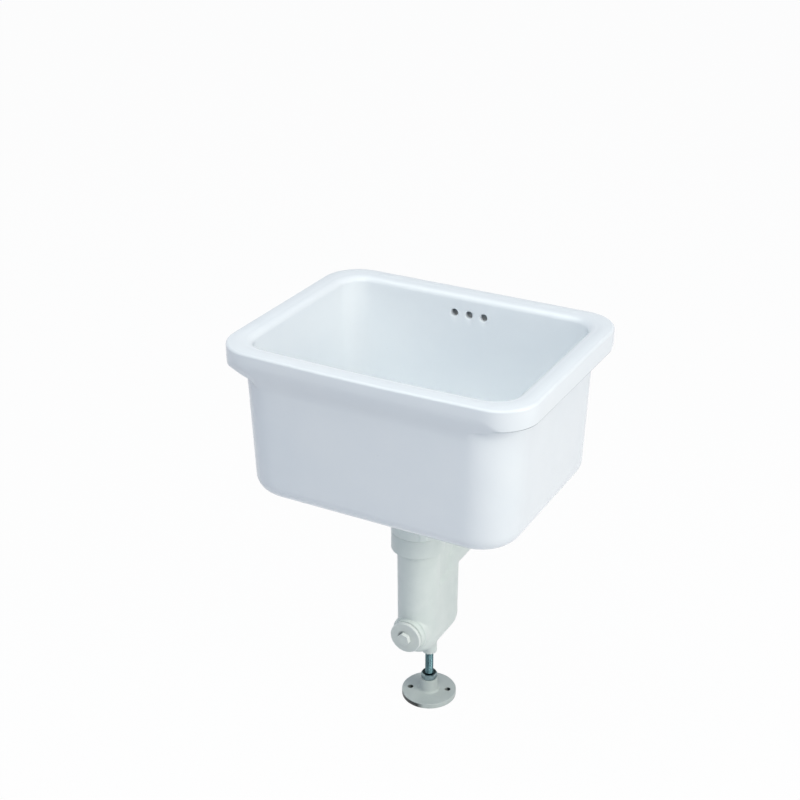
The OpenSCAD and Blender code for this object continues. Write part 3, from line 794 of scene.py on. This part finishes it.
def makeBasin():
    s = basinSet
    toSink = (0, -s["deep"] / 2, s["aboveScrews"])
    piece = addPiece("basinChina", moved(basinShape(), toSink), "sink", china, "china", ["basin"])
    low = -s["tall"]
    bossLow = low - bossSet["tall"]
    boss = turned(rounded([(0, low + 3, 0), (60, low + 3, 0), (60, low - 0.2, 0),
                           (bossSet["radius"], low - 0.2, bossSet["flare"]),
                           (bossSet["radius"], bossLow, 3), (0, bossLow, 0)]), 96)
    middle = (0, drainPlace[1] + toSink[1], toSink[2])
    carve(piece, moved(boss, middle), "UNION")
    half = ductSet["wide"] / 2 + ductSet["china"]
    high = low + s["turnUnder"] + 4
    first, last = (-half, drainPlace[1], bossLow), (half, ductSet["cover"] - 0.3, high)
    cover = shapeFrom(lambda x, y, z: brick(x, y, z, first, last, 5), first,
                      (half, ductSet["cover"], high), 3.0)
    carve(piece, moved(cover, toSink), "UNION")
    wide, near = ductSet["wide"] / 2, ductSet["front"]
    duct = block((-wide, near, bossLow + ductSet["china"]),
                 (wide, near + ductSet["deep"], 9.45 - ductSet["drop"]))
    carve(piece, moved(duct, toSink))
    lean = Matrix.Rotation(math.radians(90 - ductSet["lean"]), 4, "X")
    hole = turned(trumpet(ductSet["hole"], ductSet["lip"], 13), 40)
    lip = s["innerTurn"][1]
    share = (ductSet["drop"] - lip) / (s["tall"] - s["floor"] - s["bowlTurn"] - lip)
    wallAt = s["deep"] / 2 - s["rim"] - share * (s["backStep"] + s["draft"] + s["china"] - s["rim"])
    for x in ductSet["holes"]:
        carve(piece, moved(moved(hole, (x, wallAt, -ductSet["drop"]), lean), toSink))
    seatFloor = s["floor"] - s["tall"] - bossSet["seatDeep"]
    drain = turned([(0, bossLow - 5), (bossSet["bore"], bossLow - 5), (bossSet["bore"], seatFloor + 3),
                    (0, seatFloor + 3)], 96)
    carve(piece, moved(drain, middle))
    for side in (-1, 1):
        first = (side * pocketSet["apart"] - pocketSet["wide"] / 2, pocketSet["front"], -s["apron"] - 4)
        last = (first[0] + pocketSet["wide"], first[1] + pocketSet["deep"], pocketSet["up"] - s["apron"])
        carve(piece, moved(block(first, last), toSink))
    return piece


rimMiddle = np.array([0, -basinSet["deep"] / 2, basinSet["aboveScrews"]])
drainPlace = np.array(middleOf("strainer")) - rimMiddle
makeBasin()
print("the basin is glazed")


# The waste and what seals it

wasteSet = {
    "flange": 42, "thick": 6, "bore": 24, "stem": 30, "seat": 35.1, "seatDeep": 2.8,
    "thread": 0.45, "lead": 2.309, "slot": (24, -152, -144.5),
}
strainerSet = {
    "radius": 34.5, "thick": 2.5, "dish": 1.1, "hole": 2.5, "lip": 0.5,
    "circles": ((0, 1, 0), (11.7, 8, 0), (22.8, 14, 0)),
}
backNutSet = {"flats": 74, "bore": 30.05}
tailSet = {"radius": 25, "wall": 2.5, "collar": 30, "collarTall": 4, "screw": 26.5}


def washerShape(outer, inner, low, high, soft):
    corners = [(inner, low, soft), (outer, low, soft), (outer, high, soft), (inner, high, soft)]
    return turned(rounding(corners, 4), 96, True)


def circle(angles, radius, z):
    return np.column_stack([radius * np.cos(angles), radius * np.sin(angles), np.full(len(angles), z)])


def threadDepth(z, lead, angles):
    # 0 on the thread's crest, 1 at its root
    wave = (z / lead - angles / (2 * math.pi)) % 1
    return smoothstep(np.abs(wave - 0.5) * 2, 0.12, 0.88)


def threaded(outer, inner, low, high, depth, lead, steps=72, per=8, chamfer=1.5):
    # a screw thread's sleeve about Z: its outside follows the helix, its inside is hidden in the metal
    angles = allRound(steps)
    heights = np.linspace(low, high, max(2, round((high - low) / lead * per)))
    rings = []
    for z in heights:
        ends = chamfer - min(z - low, high - z, chamfer)
        radius = outer - np.maximum(depth * threadDepth(z, lead, angles), ends)
        rings.append(circle(angles, radius, z))
    rings += [circle(angles, inner, z) for z in (high, low)]
    return joinRings(rings, True)


def together(*shapes):
    points, faces = [], []
    for shape in shapes:
        first = len(points)
        points += [tuple(point) for point in shape[0]]
        faces += [tuple(first + k for k in face) for face in shape[1]]
    return points, faces


def makeWaste():
    w = wasteSet
    at = (0, middleOf("strainer")[1], 0)
    bottom, top = levels("waste_body")
    body = turned(rounding([(w["bore"], bottom, 0.8), (w["stem"], bottom, 1),
                            (w["stem"], top - w["thick"], 1),
                            (w["flange"], top - w["thick"], 0.6), (w["flange"], top, 2.2),
                            (w["seat"] + 0.2, top, 0.8), (w["seat"], top - w["seatDeep"], 0.5),
                            (w["bore"], top - w["seatDeep"] - 0.5, 2.5)], 6), 120, True)
    piece = addPiece("wasteFlange", moved(body, at), "sink", plate, "plated_brass", ["waste_body"])
    wide, slotLow, slotHigh = w["slot"]
    first, last = (-wide / 2, -40, slotLow), (wide / 2, 40, slotHigh)
    slot = shapeFrom(lambda x, y, z: brick(x, y, z, first, last, 3), first, last, 1.5)
    carve(piece, moved(slot, at))
    screw = threaded(w["stem"] + 0.02, w["stem"] - 2, bottom + 0.5, top - 22, w["thread"], w["lead"])
    addPiece("wasteThread", moved(screw, at), "sink", plate, "plated_brass")


def makeStrainer():
    s = strainerSet
    at = middleOf("strainer")
    top = levels("strainer")[1]
    r, thick, dish = s["radius"], s["thick"], s["dish"]
    upper = [(r * k / 10, -dish * (1 - (k / 10) ** 2)) for k in range(10)]
    lower = [(r * k / 10, -thick) for k in reversed(range(10))]
    edge = rounded([(r * 0.93, -dish * 0.1, 0), (r, 0, 1.2), (r, -thick, 0.8), (r * 0.93, -thick, 0)], 6)
    disc = turned(upper + edge + lower, 120)
    disc = (disc[0], [tuple(reversed(face)) for face in disc[1]])
    piece = addPiece("strainerDisc", moved(disc, (at[0], at[1], top)), "strainer", steel, "strainer_steel",
                     ["strainer"])
    for radius, count, first in s["circles"]:
        for k in range(count):
            turn = math.radians(first + 360 * k / count)
            level = top - dish * (1 - (radius / r) ** 2)
            hole = turned(trumpet(s["hole"], s["lip"], 6), 24)
            place = (at[0] + radius * math.cos(turn), at[1] + radius * math.sin(turn), level)
            carve(piece, moved(hole, place))


def hexRadius(angles, flats, turn=0.0):
    # distance from the middle to a hexagon's side
    folded = (np.degrees(angles) - turn + 30) % 60 - 30
    return flats / 2 / np.cos(np.radians(folded))


def nutShape(flats, bore, low, high, turn, steps):
    # a hexagon nut whose corners are turned off at the ends, its bore opened a little
    angles = allRound(steps)
    side = np.minimum(hexRadius(angles, flats, turn), flats / 2 / math.cos(math.radians(30)) - 0.25)
    slope = math.tan(math.radians(60))
    shares = np.linspace(0, 1, 9)
    drop = (side.max() - flats / 2 + 0.4) / slope
    rings = [circle(angles, bore + 0.8, low)]
    for z in [*(low + shares * drop), *(high - (1 - shares) * drop)]:
        reach = flats / 2 - 0.4 + min(z - low, high - z) * slope
        rings.append(circle(angles, np.minimum(side, reach), z))
    inner = ((bore + 0.8, high), (bore, high - 0.8), (bore, low + 0.8))
    rings += [circle(angles, radius, z) for radius, z in inner]
    return joinRings(rings, True)


def makeSeals():
    at = (0, middleOf("strainer")[1], 0)
    for name, node, finish, slot, soft in (("flangeRing", "upper_ring", rubber, "rubber", 0.7),
                                           ("bossRing", "lower_ring", rubber, "rubber", 1.2),
                                           ("bossWasher", "waste_washer", zinc, "zinc", 0.4),
                                           ("tailRing", "tail_seal", rubber, "rubber", 0.6)):
        low, high = cornersOf(node)
        inner = {"tail_seal": 27.1}.get(node, wasteSet["stem"] + 0.6)
        shape = washerShape((high[0] - low[0]) / 2, inner, low[2], high[2], soft)
        addPiece(name, moved(shape, at), "sink", finish, slot, [node])
    nut = nutShape(backNutSet["flats"], backNutSet["bore"], *levels("back_nut"), 30, 192)
    addPiece("backNut", moved(nut, at), "sink", plate, "plated_brass", ["back_nut"], sharp=20)


def makeTail():
    t = tailSet
    low, high = levels("tail_pipe")
    at = (0, middleOf("tail_pipe")[1], 0)
    collarTop = levels("tail_seal")[0]
    collarLow = collarTop - t["collarTall"]
    inner = t["radius"] - t["wall"]
    corners = [(inner, low, 0.8), (t["radius"], low, 1), (t["radius"], collarLow, 1.2),
               (t["collar"], collarLow, 1.2), (t["collar"], collarTop, 0.8), (t["screw"], collarTop, 0.4),
               (t["screw"], high, 1), (inner, high, 0.6)]
    pipe = turned(rounding(corners, 5), 96, True)
    addPiece("tailPipe", moved(pipe, at), "sink", plate, "plated_brass", ["tail_pipe"])


makeWaste()
makeStrainer()
makeSeals()
makeTail()
print("the waste is fitted")

# The trap

def trapDistance(x, y, z):
    t = trapSet
    first, second = t["legs"]
    # distances from the axes and middles that the outside and the hollow share
    aroundFirst, aroundSecond = around(x, y - first), around(x, y - second)
    aroundHub, aroundScrew = around(x, y - t["hubAt"]), around(x, y - t["screwAt"])
    level, sideways = around(x, z - t["outlet"]), around(x, z - t["cleanout"])
    along = np.clip(y, first, second)
    turnLow = np.sqrt(x * x + (y - along) ** 2 + (z - t["bend"]) ** 2)
    turnHigh = np.sqrt(x * x + (y - second) ** 2 + (z - t["outlet"]) ** 2)
    down = np.clip((t["legTop"] - z) / (t["legTop"] - t["bend"]), 0, 1)
    inlet = bar(z, aroundFirst - (t["leg"] - t["taper"] * down), t["bend"], t["legTop"] + 6, 2)
    rise = np.clip((t["outlet"] - z) / (t["outlet"] - t["bend"]), 0, 1)
    riser = bar(z, aroundSecond - (t["leg"] - t["taper"] * rise), t["bend"], t["outlet"], 2)
    bend = t["leg"] - t["taper"]
    foot, elbow = turnLow - bend, turnHigh - t["pipe"]
    pipe = bar(y, level - t["pipe"], second, t["pipeEnd"], 2)
    core = bar(y, level - t["thread"] + 1.3, second, -0.3, 1)
    web = brick(x, y, z, (-bend + 0.2, first, t["bend"] - 4), (bend - 0.2, second, t["web"]), 5)
    notchWide, notchTop = t["notch"]
    notch = brick(x, y, z, (-notchWide, first, t["bend"]), (notchWide, second, notchTop), 3)
    hubRadius, hubLow, hubHigh = t["hub"]
    hub = bar(z, aroundHub - hubRadius, hubLow, hubHigh, 0.5)
    neckRadius, neckLow, neckHigh = t["neck"]
    neck = bar(z, aroundHub - neckRadius + 1.3, neckLow - 5, neckHigh - 0.2, 1)
    saddleLow, saddleHigh, saddleEnd = t["saddle"]
    taper = np.clip((first - y) / (first - saddleEnd), 0, 1)
    saddle = bar(y, sideways - saddleLow + (saddleLow - saddleHigh) * taper, saddleEnd, first, 1.2)
    boss = bar(y, sideways - t["boss"], t["bossFace"], first, 0.9)
    screw = bar(z, aroundScrew - t["screwBoss"], t["screwLow"], t["bend"], 3)
    body = softUnion(inlet, foot, 2)
    for more, fillet in ((riser, 2), (elbow, 1), (pipe, 1), (softUnion(web, notch, 8), 0.6), (hub, 0.4),
                         (saddle, 1.2), (screw, 1.5)):
        body = softUnion(body, more, fillet)
    body = np.minimum(np.minimum(body, core), neck)
    body = softUnion(body, boss, 0.8)
    way = t["way"]
    packing, packingLow = t["packing"]
    screwBore, boreTop = t["screwBore"]
    inside = bar(z, aroundFirst - way, t["bend"], t["legTop"] + 8)
    for more in (bar(z, aroundSecond - way, t["bend"], t["outlet"]),
                 bar(z, aroundHub - way, t["legTop"], neckHigh + 9),
                 turnLow - way, turnHigh - way, bar(y, level - way, second, 9),
                 bar(z, aroundHub - packing, packingLow, neckHigh + 9, 0.5),
                 bar(y, sideways - t["plugBore"], t["bossFace"] - 9, first, 0.5),
                 bar(z, aroundScrew - screwBore, t["screwLow"] - 9, boreTop, 0.5)):
        inside = np.minimum(inside, more)
    return softCommon(body, -inside, 1.0)


def makeTrap():
    t = trapSet
    shape = shapeFrom(trapDistance, *cornersOf("trap_body"), t["cell"])
    addPiece("trapCasting", shape, "sink", trapEnamel, "trap_cast", ["trap_body"], sharp=60)
    neck = threaded(t["neck"][0], t["neck"][0] - 3, t["neck"][1] + 1, t["neck"][2], 0.9, t["lead"])
    addPiece("neckThread", moved(neck, (0, t["hubAt"], 0)), "sink", trapEnamel, "trap_cast")
    outlet = threaded(t["thread"], t["thread"] - 3, t["pipeEnd"] - 2, 0, 0.9, t["lead"])
    lay = Matrix.Rotation(math.radians(-90), 4, "X")
    addPiece("outletThread", moved(outlet, (0, 0, t["outlet"]), lay), "sink", trapEnamel, "trap_cast")


glandSet = {
    "radius": 39.75, "low": -230.7, "high": -209.0, "bore": 34.0, "hole": 25.6, "web": 6, "lugs": 6,
    "lug": 1.2, "lugWide": 11, "turn": 8, "soft": 1.8,
}


def makeGland():
    g = glandSet
    angles = allRound(240)
    # how far each angle is inside the nearest lug, in mm along the rim
    pitch = 360 / g["lugs"]
    folded = (np.degrees(angles) - g["turn"] + pitch / 2) % pitch - pitch / 2
    across = g["lugWide"] / 2 - np.abs(np.radians(folded)) * g["radius"]
    lug = smoothstep(across, -1.2, 1.4)
    low, high = g["low"], g["high"]

    def standing(z, fade):
        # the lugs run out below and above
        share = smoothstep(z, low + 0.8, low + 2.4) * (1 - smoothstep(z, high - 3.4, high - fade))
        return g["lug"] * lug * share

    rings = []
    corners = [(g["hole"], high - 0.2, 0), (g["radius"] - 3, high, 0), (g["radius"], high, g["soft"]),
               (g["radius"], low, 0.5), (g["bore"], low, 0)]
    for radius, z in rounded(corners, 8):
        more = standing(z, 1.4) if radius > g["radius"] - 1.0 else 0
        rings.append(circle(angles, radius + more, z))
        if abs(radius - g["radius"]) < 0.01 and high - z < g["soft"] + 0.2:
            # down the side, where the lugs stand out
            for step in np.linspace(0, 1, 26)[1:-1]:
                place = z + (low + 1 - z) * step
                rings.append(circle(angles, g["radius"] + standing(place, 1.6), place))
    rings += [circle(angles, radius, high - g["web"]) for radius in (g["bore"], g["hole"])]
    at = (0, trapSet["hubAt"], 0)
    rings.reverse()
    nut = moved(joinRings(rings, True), at)
    addPiece("glandNut", nut, "gland", glandLitEnamel, "trap_paint", ["gland_nut"], 26)
    washer = moved(washerShape(30.4, 25.6, *levels("gland_ring"), 0.4), at)
    addPiece("glandRing", washer, "gland_washer", brass, "brass", ["gland_ring"])
    packing = moved(washerShape(31, 25.05, *levels("gland_packing"), 1.5), at)
    addPiece("packingRing", packing, "sink", rubber, "rubber", ["gland_packing"])


def makePlug():
    p = plugSet
    angles = allRound(144)
    tip = -p["long"] - 2
    rings = []
    for z in np.linspace(tip, -0.4, 60):
        depth = np.maximum(0.9 * threadDepth(z, p["lead"], angles), 1.4 - (z - tip))
        rings.append(circle(angles, p["thread"] - depth, z))
    flange = rounded([(p["thread"], -0.2, 0), (p["radius"], 0, 0.5), (p["radius"], p["thick"], p["bevel"]),
                      (14, p["thick"] + 0.1, 0)], 8)
    rings += [circle(angles, radius, z) for radius, z in flange]
    side = softUnion(hexRadius(angles, p["flats"], p["turn"]), p["corner"], 0.15)
    foot, top = p["thick"], p["thick"] + p["head"]
    rings.append(circle(angles, side + 0.8, foot + 0.1))
    for a in quarter(4):
        rings.append(circle(angles, side + 0.2 * (1 - math.sin(a)), foot + 0.1 + 0.2 * (1 - math.cos(a))))
    for a in quarter(4):
        rings.append(circle(angles, side - 0.4 * (1 - math.cos(a)), top - 0.4 * (1 - math.sin(a))))
    rings.append(circle(angles, side * 0.5, top))
    face = Matrix.Rotation(math.radians(90), 4, "X")
    plug = moved(joinRings(rings), (0, p["back"], trapSet["cleanout"]), face)
    addPiece("cleanoutPlug", plug, "plug", plugEnamel, "trap_paint", ["cleanout_plug"], 40)
    seal = moved(washerShape(23.25, 19.6, 0.3, 1.7, 0.5), (0, trapSet["bossFace"], trapSet["cleanout"]), face)
    addPiece("cleanoutRing", seal, "plug_washer", paleRubber, "rubber", ["cleanout_ring"])


makeTrap()
makeGland()
makePlug()
print("the trap is cast")

# The foot

footSet = {
    "screw": 6.35, "thread": 0.55, "lead": 2.117, "pin": 5.0,
    "flats": 22, "nutTurn": 28, "flange": 42, "thick": 8.5, "edge": 0.9,
    "hubTop": 13, "hubBase": 15, "blend": 4, "holes": 2, "circle": 29, "hole": 4.5, "turn": 21,
}


def makeFoot():
    f = footSet
    at = (0, middleOf("foot_nut")[1], 0)
    nutLow, nutHigh = levels("foot_nut")
    screwLow, screwHigh = levels("foot_screw")
    thread = threaded(f["screw"], 4.5, nutLow - 0.2, screwHigh, f["thread"], f["lead"], 40, 9, 1.2)
    corners = [(0, screwLow, 0), (f["pin"], screwLow, 1.2), (f["pin"], nutLow + 2, 0), (0, nutLow + 2, 0)]
    pin = turned(rounded(corners), 40)
    end = turned([(0, screwHigh - 1), (5.0, screwHigh - 1), (5.0, screwHigh - 0.1), (0, screwHigh - 0.1)], 40)
    screw = moved(together(thread, pin, end), at)
    addPiece("footScrew", screw, "foot_screw", rod, "zinc", ["foot_screw"], 60)
    nut = nutShape(f["flats"], f["screw"] - 0.3, nutLow, nutHigh, f["nutTurn"] + 30, 168)
    addPiece("footNut", moved(nut, at), "foot_screw", nutZinc, "zinc", ["foot_nut"], 20)
    base, top = levels("foot_flange")
    corners = [(0, base + 0.6, 0), (f["flange"] - 5, base + 0.6, 0), (f["flange"] - 4, base, 0.6),
               (f["flange"], base, 0.8), (f["flange"], base + f["thick"], f["edge"]),
               (f["hubBase"], base + f["thick"] + 0.4, f["blend"]), (f["hubTop"], top, 1.2),
               (f["pin"] + 1.2, top, 0.8), (f["pin"] + 0.3, top - 18.4, 0), (0, top - 18.6, 0)]
    shape = turned(rounded(corners, 8), 144)
    piece = addPiece("footCasting", moved(shape, at), "foot", footEnamel, "trap_cast", ["foot_flange"])
    hole = turned(trumpet(f["hole"], 0.35, 14), 48)
    for k in range(f["holes"]):
        turn = math.radians(f["turn"] + 360 * k / f["holes"])
        place = (f["circle"] * math.cos(turn), at[1] + f["circle"] * math.sin(turn), base + f["thick"] + 0.15)
        carve(piece, moved(hole, place))


makeFoot()
print("the foot stands")

# The hangers

hangerSet = {
    "wide": 66, "long": 86, "thick": 4, "hook": 48, "out": 14, "edge": 0.9, "hole": 3.5,
    "pitch": 20, "cell": 0.9, "bend": 4.0,
}


def makeHangers():
    h = hangerSet
    wide, hook, half, edge = h["wide"] / 2, h["hook"] / 2, h["thick"] / 2, h["edge"]
    for name, node in (("hangerLeft", "hanger_left"), ("hangerRight", "hanger_right")):
        low, high = cornersOf(node)
        middle = (low[0] + high[0]) / 2
        top = low[2] + h["long"]
        under, front = top - h["thick"], -h["out"] - half

        def distance(x, y, z):
            wallSide = brick(x, y, z, (-wide, -h["thick"], low[2]), (wide, 0, top), edge)
            shelf = brick(x, y, z, (-hook, front, under), (hook, -0.5, top), edge)
            tongue = brick(x, y, z, (-hook, front, under), (hook, -h["out"] + half, high[2]), edge)
            body = softUnion(softUnion(wallSide, shelf, 3), tongue, 3)
            corner = around(np.maximum(front + h["bend"] - y, 0), np.maximum(under + h["bend"] - z, 0))
            body = np.maximum(body, (corner - h["bend"]) * (y < -h["out"] + half) - 0.01)
            for side in (-1, 1):
                body = softCommon(body, h["hole"] - around(x, z - side * h["pitch"]), 0.8)
            return body

        ends = [(corner[0] - middle, corner[1], corner[2]) for corner in (low, high)]
        shape = moved(shapeFrom(distance, *ends, h["cell"]), (middle, 0, 0))
        addPiece(name, shape, "sink", steel, "hanger_steel", [node], 50)


makeHangers()
print("the hangers are bent")
